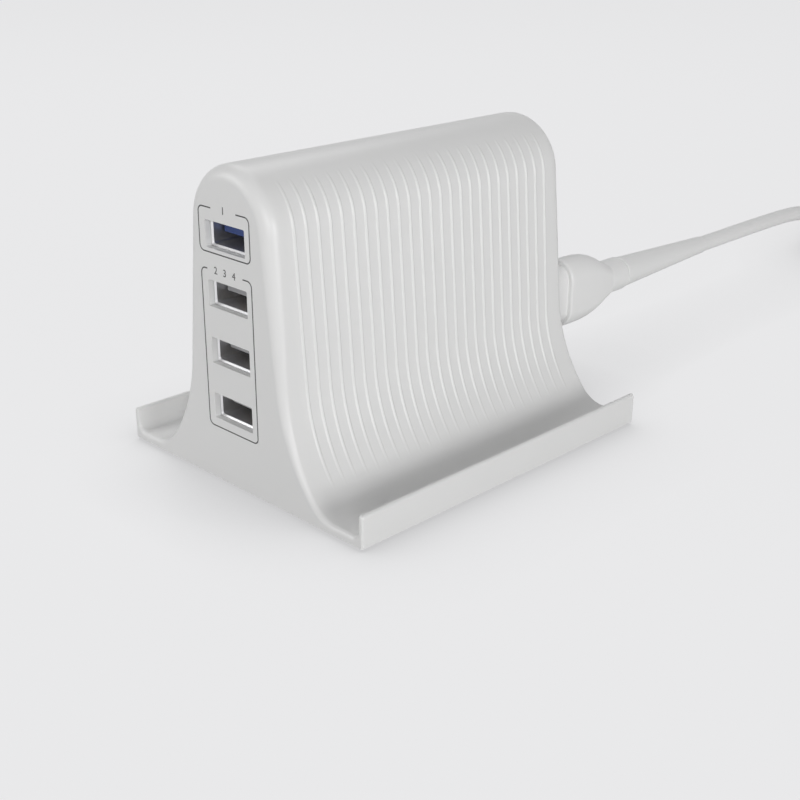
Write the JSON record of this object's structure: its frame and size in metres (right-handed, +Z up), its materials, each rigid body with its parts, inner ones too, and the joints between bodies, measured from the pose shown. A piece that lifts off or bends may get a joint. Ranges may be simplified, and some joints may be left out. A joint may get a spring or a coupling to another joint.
{
  "type": "desktop charger",
  "caption": "Free-standing desktop USB charger: a ribbed white tower with stacked sockets, a phone tray along each side and a plug-in mains cord.",
  "frame": {"origin": "centre of the charger's footprint at the height of the surface it stands on, under its rubber feet", "axes": "+Z up; -Y out of the face with the sockets, so +Y points out of the rear towards the cord; +X to the right as seen from the socket face"},
  "size_m": [0.1105, 0.3805, 0.0758],
  "materials": {
    "white_shell": "satin white plastic",
    "white_base": "fine matte white plastic",
    "screw_steel": "zinc-plated",
    "foot_rubber": "grey rubber",
    "board_green": "glass-fibre board with solder mask",
    "socket_steel": "plated sheet metal",
    "tongue_blue": "blue moulded plastic",
    "tongue_grey": "light grey moulded plastic",
    "contact_gold": "gold plated",
    "black_plastic": "black moulded plastic",
    "ferrite": "dark ferrite",
    "bobbin_tan": "moulded bobbin",
    "winding_tape": "yellow tape over wire",
    "sleeve_black": "shrink sleeve",
    "sleeve_blue": "shrink sleeve",
    "coil_copper": "enamelled copper",
    "film_yellow": "yellow moulded case",
    "disc_blue": "blue dipped",
    "sink_aluminium": "sheet aluminium",
    "inlet_black": "black moulded plastic",
    "pin_steel": "nickel plated",
    "cord_white": "soft white moulding",
    "tie_grey": "grey strap",
    "blade_nickel": "nickel-plated brass"
  },
  "bodies": {
    "root": {"housing": "white_shell", "base_plate": "white_base", "base_screws": "screw_steel", "rubber_feet": "foot_rubber", "port_board": "board_green", "port_shell_1": "socket_steel", "port_shell_2": "socket_steel", "port_shell_3": "socket_steel", "port_shell_4": "socket_steel", "port_tongue_1": "tongue_blue", "port_tongue_2": "tongue_grey", "port_tongue_3": "tongue_grey", "port_tongue_4": "tongue_grey", "port_contacts_1": "contact_gold", "port_contacts_2": "contact_gold", "port_contacts_3": "contact_gold", "port_contacts_4": "contact_gold", "main_board": "board_green", "board_link": "black_plastic", "transformer_core": "ferrite", "transformer_bobbin": "bobbin_tan", "transformer_winding": "winding_tape", "bulk_capacitor": "sleeve_black", "output_capacitors": "sleeve_blue", "filter_choke_core": "ferrite", "filter_choke_coils": "coil_copper", "film_capacitor": "film_yellow", "disc_capacitor": "disc_blue", "fuse": "black_plastic", "bridge_rectifier": "black_plastic", "power_transistor": "black_plastic", "heat_sink": "sink_aluminium", "controller_chip": "black_plastic", "inlet_body": "inlet_black", "inlet_pins": "pin_steel", "plug_nose": "cord_white", "plug_contacts": "contact_gold", "plug_grip": "cord_white", "strain_relief": "cord_white", "power_cord": "cord_white", "cord_coil": "cord_white", "cord_tail": "cord_white", "coil_tie": "tie_grey", "mains_plug_body": "cord_white", "mains_plug_blades": "blade_nickel"}
  },
  "joints": []
}
